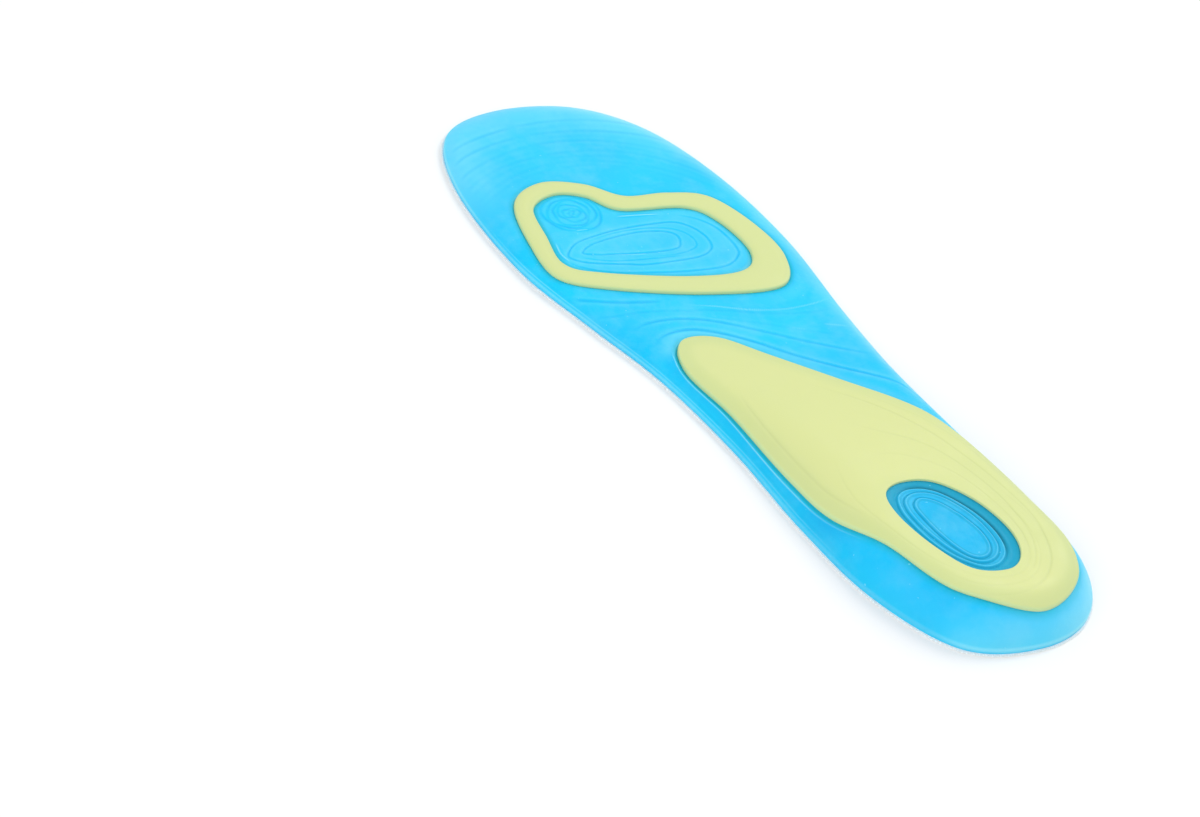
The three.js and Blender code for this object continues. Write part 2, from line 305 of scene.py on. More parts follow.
def inside(points, loop):
    """True for the points within a closed curve, by counting the sides crossed to the right."""
    after = np.roll(loop, -1, 0)
    result = np.zeros(len(points), bool)
    for first in range(0, len(points), 8000):
        x, y = points[first:first + 8000, 0:1], points[first:first + 8000, 1:2]
        straddles = (loop[:, 1] > y) != (after[:, 1] > y)
        rise = np.where(after[:, 1] == loop[:, 1], 1.0, after[:, 1] - loop[:, 1])
        crossing = loop[:, 0] + (y - loop[:, 1]) * (after[:, 0] - loop[:, 0]) / rise
        result[first:first + 8000] = (np.sum(straddles & (x < crossing), axis=1) % 2) == 1
    return result


def depth_inside(points, loop):
    """Signed distance to a closed curve: positive within it, negative outside."""
    distance, _ = nearest(points, loop, closed=True)
    return np.where(inside(points, loop), distance, -distance)


def moulded(points, lines, closed=False, fade=0.22):
    """Depth of a set of moulded lines at each point: a bell across each line, with a low soft
    shoulder beside it, tapering to nothing at the ends of an open line."""
    total = np.zeros(len(points))
    for knots, depth, width in lines:
        line = spline(knots, closed, per_span=8)
        margin = 6 * width
        near = np.all((points > line.min(0) - margin) & (points < line.max(0) + margin), axis=1)
        if not near.any():
            continue
        distance, along = nearest(points[near], line, closed)
        taper = 1.0 if closed else smooth(0.0, fade, along) * smooth(0.0, fade, 1.0 - along)
        total[near] += depth * taper * (bump(distance, width) - 0.22 * bump(distance, 3.2 * width))
    return total


sole = counter_clockwise(graded(SOLE, "top_cloth"))
support = counter_clockwise(graded(SUPPORT, "arch_heel_support"))
window = counter_clockwise(graded(WINDOW, "heel_cushion", GAP))
ring_outer = counter_clockwise(graded(RING_OUTER, "ball_ring"))
ring_inner = counter_clockwise(graded(RING_INNER, "ball_cushion", GAP))
FLAT_FROM = ring_outer[:, 1].min() - 4
HEEL_FROM = window[:, 1].max() + 5


# ------------------------------------------------------------------ heights

def heel_rise(y):
    """0 in the flat forefoot, 1 in the heel, with a smooth rise through the arch."""
    return falling(HEEL_FROM, FLAT_FROM, y)


def wall(points):
    """0 at the trimmed edge and 1 where the wall has levelled out, which is one minus a power of
    the distance that is left to the top of the wall. Returns it and the distance from the edge."""
    x, y = points.T
    arch = smooth(HEEL_FROM - 30, HEEL_FROM + 5, y) * falling(FLAT_FROM - 36, FLAT_FROM + 4, y)
    width = EDGE_ROUND + (HEEL_WALL - EDGE_ROUND) * heel_rise(y)
    width = width + (ARCH_WALL - HEEL_WALL) * arch * falling(-12, 8, x)
    edge, _ = nearest(points, sole, closed=True)
    edge = np.where(inside(points, sole), edge, 0.0)
    return 1.0 - (1.0 - np.minimum(edge / width, 1.0)) ** WALL_CURVE, edge


class Layers:
    """Heights of the cloth, film and gel over a set of plan points, each the same wall shape
    scaled between its height at the edge and its height in the middle."""

    def __init__(self, points):
        cloth_low, cloth_high = box_mm("top_cloth")
        film_low, film_high = box_mm("film_backing")
        gel_low, _ = box_mm("gel_body")
        _, support_high = box_mm("arch_heel_support")
        _, ring_high = box_mm("ball_ring")
        rise = heel_rise(points[:, 1])
        self.wall, self.edge = wall(points)
        cup = film_high[2] - (gel_low[2] - GAP)
        self.cloth_low = cup * rise * self.wall
        self.cloth_high = self.cloth_low + (cloth_high[2] - cloth_low[2] - cup)
        self.film_low = self.cloth_low + film_low[2]
        self.film_high = self.cloth_low + gel_low[2] - GAP
        self.gel_low = self.cloth_low + gel_low[2]
        forefoot = ring_high[2] - RING_PROUD - gel_low[2]
        heel = support_high[2] - SUPPORT_PROUD - cup - gel_low[2]
        middle = forefoot + (heel - forefoot) * rise
        self.gel_high = self.gel_low + GEL_RIM + (middle - GEL_RIM) * self.wall
        self.pocket = np.maximum(self.gel_low + POCKET_FLOOR, self.gel_high - POCKET_DEPTH)


# ------------------------------------------------------------------ meshes

def wrap_faces(rows, columns, close_rows):
    """Two triangles for each cell of a grid of points whose columns run in a closed loop, and
    whose rows do too where close_rows is true."""
    index = np.arange(rows * columns).reshape(rows, columns)
    here, beside = index, np.roll(index, -1, 1)
    if close_rows:
        above, corner = np.roll(here, -1, 0), np.roll(beside, -1, 0)
    else:
        above, corner = here[1:], beside[1:]
        here, beside = here[:-1], beside[:-1]
    first = np.stack([here, beside, corner], -1).reshape(-1, 3)
    second = np.stack([here, corner, above], -1).reshape(-1, 3)
    return np.vstack([first, second])


def welded(points, faces, fields):
    """Points at the same place, to a ten-thousandth of a millimetre, made one, and the faces that
    this leaves without area dropped."""
    _, first, same = np.unique(np.round(points, 4), axis=0, return_index=True, return_inverse=True)
    faces = same.reshape(-1)[faces]
    full = (faces[:, 0] != faces[:, 1]) & (faces[:, 1] != faces[:, 2]) & (faces[:, 2] != faces[:, 0])
    return points[first], faces[full], {name: values[first] for name, values in fields.items()}


def outward(points, faces):
    """The faces turned over if they enclose a negative volume."""
    a, b, c = (points[faces[:, corner]] for corner in range(3))
    volume = np.sum(a * np.cross(b, c))
    return faces if volume > 0 else faces[:, ::-1]


def add_piece(name, grid, fields=None, close_rows=False):
    """A Blender object from a grid of points in millimetres, with one attribute for each field."""
    rows, columns = grid.shape[:2]
    faces = wrap_faces(rows, columns, close_rows)
    fields = {key: values.reshape(-1) for key, values in (fields or {}).items()}
    points, faces, fields = welded(grid.reshape(-1, 3), faces, fields)
    return add_mesh(name, points, outward(points, faces), fields)


def add_mesh(name, points, faces, fields=None):
    """A smooth-shaded Blender object at the origin from points in millimetres and triangles."""
    mesh = bpy.data.meshes.new(name)
    mesh.from_pydata(points * MM, [], faces)
    for key, values in (fields or {}).items():
        attribute = mesh.attributes.new(key, "FLOAT", "POINT")
        attribute.data.foreach_set("value", values.astype(np.float32))
    mesh.polygons.foreach_set("use_smooth", np.ones(len(faces), bool))
    mesh.update()
    if mesh.validate():
        raise RuntimeError(f"{name} has faces that Blender could not keep")
    mesh.set_sharp_from_angle(angle=np.radians(SHARP_ANGLE))
    piece = bpy.data.objects.new(name, mesh)
    bpy.context.scene.collection.objects.link(piece)
    return piece


def sole_rows(outline, rows, columns):
    """Plan points in straight rows across an outline, from the heel's back to the toe's tip. The
    rows and the points in them lie closer together near the edge."""
    back, toe = np.argmin(outline[:, 1]), np.argmax(outline[:, 1])
    loop = np.roll(outline, -back, 0)
    turn = (toe - back) % len(outline)
    outer, inner = loop[:turn + 1], np.vstack([loop[turn:], loop[:1]])[::-1]

    def closer(count, share):
        t = np.linspace(0.0, 1.0, count + 1)
        return (1 - share) * t + share * (1 - np.cos(np.pi * t)) / 2

    y = loop[0, 1] + (loop[turn, 1] - loop[0, 1]) * closer(rows, 0.5)
    left, right = np.interp(y, inner[:, 1], inner[:, 0]), np.interp(y, outer[:, 1], outer[:, 0])
    left[0] = right[0] = loop[0, 0]
    left[-1] = right[-1] = loop[turn, 0]
    x = left[:, None] + (right - left)[:, None] * closer(columns, 0.45)[None]
    return np.stack([x, np.broadcast_to(y[:, None], x.shape)], -1)


def stations(side, count, weight):
    """Points along an open curve, closer together where the weight of their Y is higher."""
    dense = weight(side[:, 1])
    step = np.linalg.norm(np.diff(side, axis=0), axis=1)
    along = np.concatenate([[0.0], np.cumsum(step * (dense[1:] + dense[:-1]) / 2)])
    at = np.linspace(0.0, along[-1], count + 1)
    return np.column_stack([np.interp(at, along, side[:, axis]) for axis in (0, 1)])


def spokes(outline, rows, weight):
    """Rows that fan out round the heel and the toes: each runs from the inner edge to a spine down
    the middle and on to the outer edge. Returns the three ends of every row."""
    back, toe = np.argmin(outline[:, 1]), np.argmax(outline[:, 1])
    loop = np.roll(outline, -back, 0)
    turn = (toe - back) % len(outline)
    outer = stations(loop[:turn + 1], rows, weight)
    inner = stations(np.vstack([loop[turn:], loop[:1]])[::-1], rows, weight)
    middle = (inner[:, 1] + outer[:, 1]) / 2
    kept = 1 - (SPINE_FROM_HEEL + SPINE_FROM_TOE) / (middle[-1] - middle[0])
    y = middle[0] + SPINE_FROM_HEEL + (middle - middle[0]) * kept
    x = (np.interp(y, inner[:, 1], inner[:, 0]) + np.interp(y, outer[:, 1], outer[:, 0])) / 2
    return inner, np.column_stack([x, y]), outer


def spoke_points(ends, columns, density):
    """Plan points along the rows, closer together where the density is higher: it is summed along
    each row at samples that crowd towards the edge, and the sum is cut into equal parts."""
    inner, spine, outer = ends
    sample = np.linspace(0.0, 1.0, 141) ** 1.7
    sides = []
    for edge in (inner, outer):
        path = between(edge, spine, sample)
        dense = density(path.reshape(-1, 2)).reshape(path.shape[:2])
        step = np.diff(sample)[None] * (dense[:, 1:] + dense[:, :-1]) / 2
        total = np.concatenate([np.zeros((len(edge), 1)), np.cumsum(step, axis=1)], axis=1)
        level = np.linspace(0.0, 1.0, columns + 1)
        share = np.array([np.interp(level * along[-1], along, sample) for along in total])
        sides.append(between(edge, spine, share))
    return np.concatenate([sides[0], sides[1][:, -2::-1]], axis=1)


def sandwich(top, bottom):
    """Closed rows for a layer: across the top, then back across the underside, which may have
    fewer points in a row. Both share the layer's edge rows."""
    return np.concatenate([top, bottom[:, ::-1]], axis=1)


def spread(fields, plan, low_plan, below=0.0):
    """Fields over a piece's top, kept from 0 to 1, each with one value for its whole underside."""
    under = np.full(low_plan.shape[:2], below)
    tops = {key: np.clip(values, 0.0, 1.0).reshape(plan.shape[:2]) for key, values in fields.items()}
    return {key: np.concatenate([top, under], axis=1) for key, top in tops.items()}


def raised(plan, height):
    """Plan points with their heights as the third coordinate."""
    return np.concatenate([plan, np.asarray(height).reshape(plan.shape[:2] + (1,))], axis=-1)


def fan(outer, inner, middle):
    """For each point of the outer curve, the point of the inner curve in the same direction from
    the middle."""
    def polar(curve):
        away = curve - middle
        return np.arctan2(away[:, 1], away[:, 0]), np.linalg.norm(away, axis=1)

    angle, _ = polar(outer)
    inner_angle, inner_radius = polar(inner)
    order = np.argsort(inner_angle)
    radius = np.interp(angle, inner_angle[order], inner_radius[order], period=2 * np.pi)
    return middle + radius[:, None] * np.column_stack([np.cos(angle), np.sin(angle)])


def across(inner, outer, steps, margin):
    """Plan points from an inner to an outer curve, with extra points close to both edges."""
    span = np.linalg.norm(outer - inner, axis=1)[:, None]
    close = np.array([0.0, 0.06, 0.16, 0.32, 0.55, 0.8]) * margin
    first = close[None] / span
    middle = np.linspace(0, 1, steps)[None, 1:-1]
    middle = margin / span + (1 - 2 * margin / span) * middle
    share = np.concatenate([first, middle, 1 - first[:, ::-1]], axis=1)
    return between(inner, outer, share)


def rounded(edge, radius):
    """Drop of a rounded shoulder at a distance from its edge: a quarter circle."""
    share = 1.0 - np.clip(edge / radius, 0.0, 1.0)
    return radius * (1.0 - np.sqrt(np.maximum(1.0 - share**2, 0.0)))


# ------------------------------------------------------------------ materials

class Finish:
    """A material under construction: its node tree, its shader and short ways to add to them."""

    def __init__(self, name):
        self.material = bpy.data.materials.new(name)
        self.material.use_nodes = True
        self.tree = self.material.node_tree
        self.shader = self.tree.nodes["Principled BSDF"]

    def node(self, kind, **settings):
        """A node with its properties and its inputs set by name."""
        made = self.tree.nodes.new(kind)
        for key, value in settings.items():
            if hasattr(made, key):
                setattr(made, key, value)
            else:
                made.inputs[key.replace("_", " ")].default_value = value
        return made

    def wire(self, output, target):
        """A link from an output to an input."""
        self.tree.links.new(output, target)

    def place(self):
        """The piece's own coordinates."""
        return self.node("ShaderNodeTexCoord").outputs["Object"]

    def field(self, name):
        """A number stored on the piece's points."""
        return self.node("ShaderNodeAttribute", attribute_name=name).outputs["Fac"]

    def noise(self, scale, detail=2.0, roughness=0.5):
        """Noise over the piece, as a number around a half."""
        made = self.node("ShaderNodeTexNoise", Scale=scale, Detail=detail, Roughness=roughness)
        self.wire(self.place(), made.inputs["Vector"])
        return made.outputs["Fac"]

    def ranged(self, value, low, high, new_low, new_high):
        """A number carried from one range to another and kept within it."""
        made = self.node(
            "ShaderNodeMapRange", From_Min=low, From_Max=high, To_Min=new_low, To_Max=new_high
        )
        self.wire(value, made.inputs["Value"])
        return made.outputs["Result"]

    def blend(self, share, first, second):
        """One colour turning into another by a number."""
        made = self.node("ShaderNodeMix", data_type="RGBA")
        self.wire(share, made.inputs["Factor"])
        for key, value in (("A", first), ("B", second)):
            socket = next(s for s in made.inputs if s.name == key and s.type == "RGBA")
            if isinstance(value, bpy.types.NodeSocket):
                self.wire(value, socket)
            else:
                socket.default_value = (*value, 1.0)
        return next(s for s in made.outputs if s.type == "RGBA")

    def relief(self, heights):
        """Bump from pairs of a height and its depth in metres, one after the other."""
        normal = None
        for height, depth in heights:
            made = self.node("ShaderNodeBump", Strength=1.0, Distance=depth)
            self.wire(height, made.inputs["Height"])
            if normal:
                self.wire(normal, made.inputs["Normal"])
            normal = made.outputs["Normal"]
        self.wire(normal, self.shader.inputs["Normal"])

    def gloss(self, low, high, scale):
        """Roughness that wanders between two values."""
        wander = self.ranged(self.noise(scale, 3.0), 0.3, 0.7, low, high)
        self.wire(wander, self.shader.inputs["Roughness"])

    def paint(self, base):
        """The colour of the surface."""
        self.wire(base, self.shader.inputs["Base Color"])

    def set(self, **values):
        """Fixed values of the shader's own inputs."""
        for key, value in values.items():
            self.shader.inputs[key.replace("_", " ")].default_value = value


def soft_gel(name, body, deep, thin_and_highlight, shade=BLUE_BY_LIME, rough=0.34):
    """Cast gel: clear colour that pales where it is thinner and under painted highlights, with
    painted shade in its moulded lines and beside the inserts, a faint cloudiness and a fine satin skin."""
    finish = Finish(name)
    cloud = finish.ranged(finish.noise(28.0, 3.0), 0.35, 0.65, 0.0, 0.35)
    haze = finish.ranged(finish.noise(110.0, 4.0, 0.6), 0.45, 0.7, 0.0, 0.16)
    base = finish.blend(cloud, body, deep)
    base = finish.blend(haze, base, thin_and_highlight)
    # Pale where the gel is thinner over the cloth, and painted highlights on crests and raised lines.
    base = finish.blend(finish.field("thin_and_highlight"), base, thin_and_highlight)
    # Painted shade: the deep colour in moulded lines, steps and recesses.
    base = finish.blend(finish.field("groove_shade"), base, deep)
    # Painted shade: the shade colour beside the inserts and at the foot of walls.
    base = finish.blend(finish.field("painted_shade"), base, shade)
    fleck = finish.ranged(finish.noise(900.0, 0.0), 0.83, 0.88, 0.0, 0.35)
    base = finish.blend(fleck, base, thin_and_highlight)
    finish.paint(base)
    finish.gloss(rough, rough + 0.12, 160.0)
    skin = finish.noise(2600.0, 2.0)
    ripple = finish.noise(240.0, 2.0)
    finish.relief([(ripple, 0.00012), (skin, 0.00002)])
    finish.set(Subsurface_Weight=0.2, Subsurface_Scale=0.004, Subsurface_Radius=(0.3, 0.8, 1.0),
               IOR=1.45, Specular_IOR_Level=0.28, Coat_Weight=0.04, Coat_Roughness=0.25)
    return finish.material


def firm_gel(name, middle, edge):
    """Firmer lime gel: chalky and even, greener towards its edges, with painted shade in its
    moulded lines and on its sides, and a very fine grain.
    """
    finish = Finish(name)
    cloud = finish.ranged(finish.noise(22.0, 3.0), 0.35, 0.65, 0.0, 0.22)
    base = finish.blend(cloud, middle, edge)
    base = finish.blend(finish.field("thin_and_highlight"), base, edge)
    # Painted shade: a darker edge colour in the moulded lines.
    base = finish.blend(finish.field("groove_shade"), base, tuple(0.82 * part for part in edge))
    # Painted shade on the sides, tinted by light from the blue gel.
    base = finish.blend(finish.field("painted_shade"), base, LIME_SIDE_SHADE)
    finish.paint(base)
    finish.gloss(0.5, 0.62, 120.0)
    finish.relief([(finish.noise(180.0, 2.0), 0.00008), (finish.noise(3200.0, 2.0), 0.00002)])
    finish.set(Subsurface_Weight=0.12, Subsurface_Scale=0.003, Subsurface_Radius=(0.9, 1.0, 0.4),
               IOR=1.45)
    return finish.material


def knit(name, thread):
    """Fine knitted cloth: rows of small loops from two crossed waves, fuzzy and matt."""
    finish = Finish(name)
    place = finish.place()
    waves = []
    for direction, scale in (("X", 420.0), ("Y", 300.0)):
        made = finish.node("ShaderNodeTexWave", wave_type="BANDS", bands_direction=direction,
                           Scale=scale, Distortion=1.2, Detail=1.0)
        finish.wire(place, made.inputs["Vector"])
        waves.append(made.outputs["Fac"])
    loops = finish.node("ShaderNodeMath", operation="MULTIPLY")
    finish.wire(waves[0], loops.inputs[0])
    finish.wire(waves[1], loops.inputs[1])
    base = finish.blend(loops.outputs["Value"], tuple(0.84 * part for part in thread), thread)
    base = finish.blend(finish.ranged(finish.noise(60.0), 0.3, 0.7, 0.0, 0.3), base, (0.82, 0.9, 0.93))
    finish.paint(base)
    finish.relief([(loops.outputs["Value"], 0.00008), (finish.noise(2400.0), 0.00003)])
    finish.set(Roughness=0.92, Sheen_Weight=0.35, Sheen_Roughness=0.5)
    return finish.material


def thin_film():
    """Milky plastic film with faint creases."""
    finish = Finish("milky film")
    base = finish.blend(finish.noise(90.0), (0.66, 0.80, 0.86), (0.80, 0.90, 0.94))
    finish.paint(base)
    finish.gloss(0.3, 0.45, 200.0)
    finish.relief([(finish.noise(320.0, 3.0), 0.00005)])
    return finish.material


def finish_piece(piece, material, slot, *nodes):
    """Gives a piece its material and the body it rides on, and hides the frame nodes it stands for."""
    piece.data.materials.append(material)
    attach(piece, "root")
    if nodes:
        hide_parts(*nodes)
    return piece


# ------------------------------------------------------------------ pieces

class INSOLE_OT_gel_body(bpy.types.Operator):
    """Adds the blue gel body, with its moulded waves, edge bead and pockets"""

    bl_idname = "insole.gel_body"
    bl_label = "Gel Body"

    BEAD_AT, BEAD_WIDTH = 0.85, 0.17   # the fine bead, by its distance from the trimmed edge
    LINE_AT, LINE_WIDTH = 1.5, 0.25    # the shallow line beside it
    LINE_DEPTH = 0.04                  # and how deep it is
    CREST_AT, CREST_WIDTH = 1.5, 0.12  # the lip, by its distance from the support
    LEDGE = 0.55                       # drop between the lip and the support
    WEDGE, SWELL = 0.34, 0.45          # how the gel sinks to the support and swells to the ring
    SUPPORT_MOAT, RING_MOAT = 0.28, 0.22   # depth of the crease right beside them
    SHOULDER = 0.45                    # rounding of the trimmed edge

    def execute(self, context):
        shape, tint = context.scene.insole_shape, context.scene.insole_colours
        outline = moved_out(even_steps(sole, 1200), -0.1)
        ends = spokes(outline, 600, lambda y: 0.5 + 0.5 * smooth(-72, -48, y))
        plan = spoke_points(ends, 70, self.density)
        height, fields = self.surface(plan.reshape(-1, 2), shape)

        inner, spine, outer = ends
        shares = [0.0, 0.01, 0.04, 0.1, 0.2, 0.4, 0.7, 1.0]
        halves = [between(inner, spine, shares), between(outer, spine, shares)[:, -2::-1]]
        low_plan = np.concatenate(halves, axis=1)
        low = Layers(low_plan.reshape(-1, 2))
        grid = sandwich(raised(plan, height), raised(low_plan, self.underside(low)))
        piece = add_piece("cast_gel_body", grid, spread(fields, plan, low_plan))
        material = soft_gel("blue gel", tint.gel, tint.deep_gel_and_shade, tint.pale_gel_and_highlight)
        finish_piece(piece, material, "blue_gel", "gel_body")
        return {"FINISHED"}

    def underside(self, layers):
        """The gel's lowest face, which dips over the cloth at the trimmed edge."""
        return layers.gel_low - EDGE_SKIRT * falling(0.3, 1.3, layers.edge)

    def surface(self, points, shape):
        """Height of the top, and how far it is pale (thin), deep (groove) or shaded (seam)."""
        layers = Layers(points)
        support_out = -depth_inside(points, support)
        ring_out = -depth_inside(points, ring_outer)
        edge = layers.edge
        x, y = points.T

        lines = 0.85 * moulded(points, FLOW_LINES) + self.toe_waves(points)
        clear = smooth(0.4, 1.8, support_out) * smooth(0.5, 1.8, ring_out) * smooth(1.5, 4.0, edge)
        lines = lines * clear * shape.groove_depth
        inner_side = falling(8, 24, x) * smooth(-84, -62, y) * falling(58, 90, y)
        line = self.LINE_DEPTH * bump(edge - self.LINE_AT, self.LINE_WIDTH)
        rim = inner_side * (line - shape.bead / MM * bump(edge - self.BEAD_AT, self.BEAD_WIDTH))
        beside = falling(-24, -13, x) * smooth(-84, -68, y) * falling(6, 12, y)
        elsewhere = 1 - beside
        ledge = self.LEDGE * beside * falling(0.25, 1.4, support_out)
        crest = beside * bump(support_out - self.CREST_AT, self.CREST_WIDTH)
        swell = self.SWELL * falling(0.5, 7.0, ring_out)
        wedge = self.WEDGE * elsewhere * smooth(-60, -30, y) * falling(0.3, 5.0, support_out)
        moat = self.SUPPORT_MOAT * elsewhere * falling(0.0, 0.8, support_out)
        moat = moat + self.RING_MOAT * falling(0.0, 0.9, ring_out)
        height = layers.gel_high + swell + shape.lip / MM * crest - lines - rim - ledge - wedge - moat
        inserted = np.maximum(falling(-0.9, -0.05, support_out), falling(-0.9, -0.05, ring_out))
        height = height + (layers.pocket - 0.05 - height) * inserted
        height = height - rounded(edge, self.SHOULDER)
        height = np.maximum(height, self.underside(layers) + LEAST_GEL)

        # Pale at the trimmed edge, where the gel is thinner over the cloth, then at the toes, at the
        # back of the heel and along the outer side. Painted highlights on the lip's crest, on raised
        # lines and on the edge bead, and a painted reflection in a band beside the arch support.
        thin_and_highlight = (
            0.4 * falling(0.1, 0.6, edge) + 1.3 * crest
            + 0.4 * (1 - 0.85 * smooth(1.0, 22.0, edge)) * smooth(70, 112, y)
            + 0.35 * falling(1.0, 12.0, edge) * falling(-126, -112, y)
            + 0.34 * smooth(0, 22, x) * falling(0.5, 9.0, edge)
            + 0.25 * elsewhere * smooth(-60, -30, y) * falling(1.0, 5.5, support_out)
            + 5.0 * np.maximum(-lines, 0) + 4.0 * np.maximum(-rim, 0)
        )
        # Deeper blue as painted shade in every line and step and in the ledge and moat beside the
        # inserts; deeper blue also on the inner wall of the heel and outside the lip.
        groove_shade = (
            4.0 * np.maximum(lines, 0) + 0.8 * ledge + 0.8 * moat + 3.0 * np.maximum(rim, 0)
            + 0.4 * falling(-8, 4, x) * smooth(-124, -110, y) * falling(-72, -50, y)
            + 0.45 * beside * smooth(1.2, 1.7, support_out) * falling(1.8, 6.5, support_out)
        )
        # Shaded in a soft band beside the support and the ring.
        painted_shade = (
            0.75 * beside * falling(0.3, 1.3, support_out)
            + (0.55 - 0.2 * smooth(-5, 10, x)) * elsewhere * falling(0.0, 2.8, support_out)
            + 0.5 * falling(0.0, 2.6, ring_out)
        )
        return height, {"thin_and_highlight": thin_and_highlight, "groove_shade": groove_shade, "painted_shade": painted_shade}

    def density(self, points):
        """High close to the trimmed edge and beside the support, low under the inserts."""
        support_out = -depth_inside(points, support[::3])
        ring_out = -depth_inside(points, ring_outer[::3])
        edge, _ = nearest(points, sole[::3], closed=True)
        hidden = np.maximum(falling(-2.2, -0.4, support_out), falling(-2.2, -0.4, ring_out))
        return (
            1 - 0.88 * hidden + 0.8 * bump(support_out - 1.2, 1.2) + 0.9 * bump(edge - 1.0, 0.9)
            + 7 * np.exp(-edge / 0.35)
        )

    def toe_waves(self, points):
        """Arcs about one middle, one for each radius, faint where the two halves of the mould met
        and fading out towards the sides."""
        away = points - np.array(TOE_MIDDLE)
        radius = np.linalg.norm(away, axis=1)
        angle = np.degrees(np.arctan2(away[:, 0], away[:, 1]))
        reach = smooth(-36, -20, angle) * falling(48, 76, angle)
        reach = reach * (1 - 0.9 * bump(points[:, 0] + 8.3, 3.4))
        total = np.zeros(len(points))
        for number, middle in enumerate(TOE_RADII):
            depth = (0.12 if number % 2 else 0.03) * (0.6 + 0.4 * np.sin(2.9 * number + 1.0))
            broken = 0.72 + 0.28 * np.sin(angle / 7.0 + 2.3 * number)
            waver = 0.25 * np.sin(angle / 9.0 + 1.3 * number)
            wave = bump(radius - middle - waver, 0.52) - 0.2 * bump(radius - middle, 1.6)
            total += depth * broken * wave
        return total * reach


class INSOLE_OT_support(bpy.types.Operator):
    """Adds the lime arch and heel support, a soft-edged shell with an oval window"""

    bl_idname = "insole.support"
    bl_label = "Arch and Heel Support"

    def execute(self, context):
        shape, tint = context.scene.insole_shape, context.scene.insole_colours
        outer = even_steps(support, 620)
        inner = fan(outer, window, window.mean(0))
        plan = across(inner, outer, 92, 1.2)
        points = plan.reshape(-1, 2)
        layers = Layers(points)
        outer_edge, _ = nearest(points, outer, closed=True)
        inner_edge, _ = nearest(points, window, closed=True)
        lines = 0.75 * moulded(points, SUPPORT_LINES) * shape.groove_depth
        lines = lines * smooth(0.8, 2.4, outer_edge) * smooth(0.8, 2.4, inner_edge)
        lines = lines + self.heel_arcs(points, inner_edge) * shape.groove_depth
        crown = 0.4 * (smooth(0, 5, outer_edge) - 1)
        height = layers.gel_high + SUPPORT_PROUD + crown - lines
        height = np.minimum(height, box_mm("arch_heel_support")[1][2])
        height = height - rounded(outer_edge, 0.5) - rounded(inner_edge, 0.2)

        low_plan = between(inner, outer, [1.0, 0.95, 0.7, 0.3, 0.05, 0.0])
        low_height = Layers(low_plan.reshape(-1, 2)).pocket + 0.5 * GAP
        grid = np.concatenate([raised(plan, height), raised(low_plan, low_height)], axis=1)
        x, y = points.T
        thin_and_highlight = (
            0.8 * falling(0.5, 7.0, outer_edge) + 0.25 * falling(0.3, 5.0, inner_edge)
            + 0.12 * falling(-20, 4, x) + 0.2 * smooth(-15, 5, y)
            + 0.35 * smooth(6, 20, x) * falling(-80, -60, y)
        )
        # Painted shade along the edges, down the sides and underneath, and in the moulded lines.
        lime_side_shade = np.maximum(falling(0.05, 0.5, outer_edge), 0.6 * falling(0.05, 0.3, inner_edge))
        fields = spread({"thin_and_highlight": thin_and_highlight, "painted_shade": lime_side_shade}, plan, low_plan, below=1.0)
        fields.update(spread({"groove_shade": 2.2 * lines}, plan, low_plan))
        piece = add_piece("support_shell", grid, fields, close_rows=True)
        material = firm_gel("lime support gel", tint.lime, tint.lime_edge)
        finish_piece(piece, material, "lime_support", "arch_heel_support")
        return {"FINISHED"}

    def heel_arcs(self, points, inner_edge):
        """Arcs that follow the window at three distances, behind it and on its outer side."""
        away = points - window.mean(0)
        angle = np.degrees(np.arctan2(away[:, 1], away[:, 0]))
        reach = smooth(-150, -115, angle) * falling(-10, 40, angle)
        return reach * sum(0.045 * bump(inner_edge - middle, 0.35) for middle in (2.6, 5.6, 8.8))


class INSOLE_OT_ball_ring(bpy.types.Operator):
    """Adds the lime ring under the ball of the foot, a band with rounded shoulders"""

    bl_idname = "insole.ball_ring"
    bl_label = "Ball Ring"

    def execute(self, context):
        tint = context.scene.insole_colours
        outer = even_steps(ring_outer, 560)
        inner = fan(outer, ring_inner, ring_inner.mean(0))
        plan = across(inner, outer, 16, 1.6)
        points = plan.reshape(-1, 2)
        edge = np.minimum(nearest(points, outer, True)[0], nearest(points, ring_inner, True)[0])
        low, high = box_mm("ball_ring")
        crown = 0.18 * (smooth(0.0, 3.4, edge) - 1)
        height = high[2] - 0.05 + crown - rounded(edge, 0.7)
        low_plan = between(inner, outer, [1.0, 0.9, 0.5, 0.1, 0.0])
        bottom = raised(low_plan, np.full(low_plan.shape[:2], low[2] - 0.5 * GAP))
        grid = np.concatenate([raised(plan, height), bottom], axis=1)
        thin_and_highlight = 0.55 + 0.45 * falling(0.2, 2.6, edge)
        # Painted shade along the edges, down the sides and underneath.
        painted_shade = falling(0.05, 0.6, edge)
        fields = spread({"thin_and_highlight": thin_and_highlight, "painted_shade": painted_shade}, plan, low_plan, below=1.0)
        fields.update(spread({"groove_shade": np.zeros_like(edge)}, plan, low_plan))
        piece = add_piece("ball_ring_band", grid, fields, close_rows=True)
        material = firm_gel("lime ring gel", tint.lime, tint.lime_edge)
        finish_piece(piece, material, "lime_ring", "ball_ring")
        return {"FINISHED"}


def pad_grid(outline, middle, rings, surface, low):
    """A pad as spokes from its middle out to its edge, down its side and back to the middle
    underneath. surface gives the top height and the fields at plan points."""
    centre = np.broadcast_to(middle, outline.shape)
    plan = across(centre, outline, rings, 0.8)
    height, fields = surface(plan.reshape(-1, 2))
    low_plan = between(centre, outline, [1.0, 0.6, 0.0])
    bottom = raised(low_plan, np.full(low_plan.shape[:2], low))
    grid = np.concatenate([raised(plan, height), bottom], axis=1)
    return grid, spread(fields, plan, low_plan)


